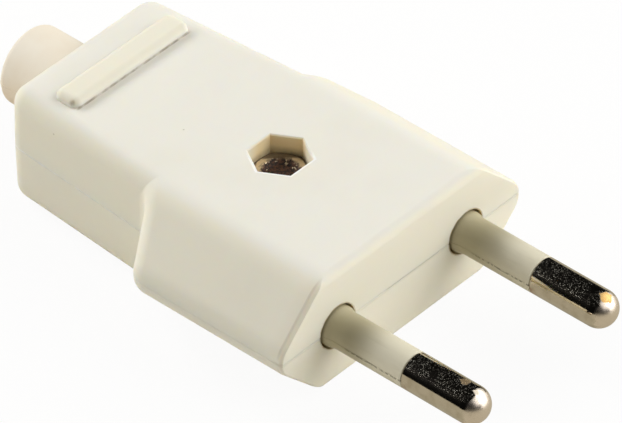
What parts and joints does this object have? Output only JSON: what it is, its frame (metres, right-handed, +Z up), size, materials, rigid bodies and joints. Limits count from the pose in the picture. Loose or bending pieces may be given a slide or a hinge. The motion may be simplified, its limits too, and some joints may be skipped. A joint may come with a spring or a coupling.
{
  "type": "electrical plug",
  "caption": "Rewirable flat mains plug: split moulded body with slanted grip sides and swept shoulders, sleeved round contact pins, recessed assembly nut and rear cord outlet.",
  "frame": {"origin": "centre of the engagement face, on the parting plane midway between the pins", "axes": "-Y the way the pins point, +Y towards the cord outlet, +X across the pins, +Z up from the underside the plug lies on"},
  "size_m": [0.0346, 0.0688, 0.0147],
  "materials": {
    "shell_plastic": "ivory moulded thermoplastic, satin",
    "pin_metal": "nickel-plated brass, pitted and worn to brass at the tips",
    "pin_sleeve_plastic": "grey-ivory insulating sleeve, matt",
    "cord_sleeve_rubber": "soft flesh-coloured moulding",
    "clamp_plastic": "ivory moulding",
    "screw_steel": "plated steel, tarnished and lightly rusted"
  },
  "bodies": {
    "root": {"upper_shell": "shell_plastic", "lower_shell": "shell_plastic", "left_pin": "pin_metal", "right_pin": "pin_metal", "left_pin_sleeve": "pin_sleeve_plastic", "right_pin_sleeve": "pin_sleeve_plastic", "left_terminal_screw": "screw_steel", "right_terminal_screw": "screw_steel", "assembly_nut": "screw_steel", "assembly_screw": "screw_steel", "cord_sleeve": "cord_sleeve_rubber", "cord_clamp_bar": "clamp_plastic", "cord_clamp_screws": "screw_steel"}
  },
  "joints": []
}
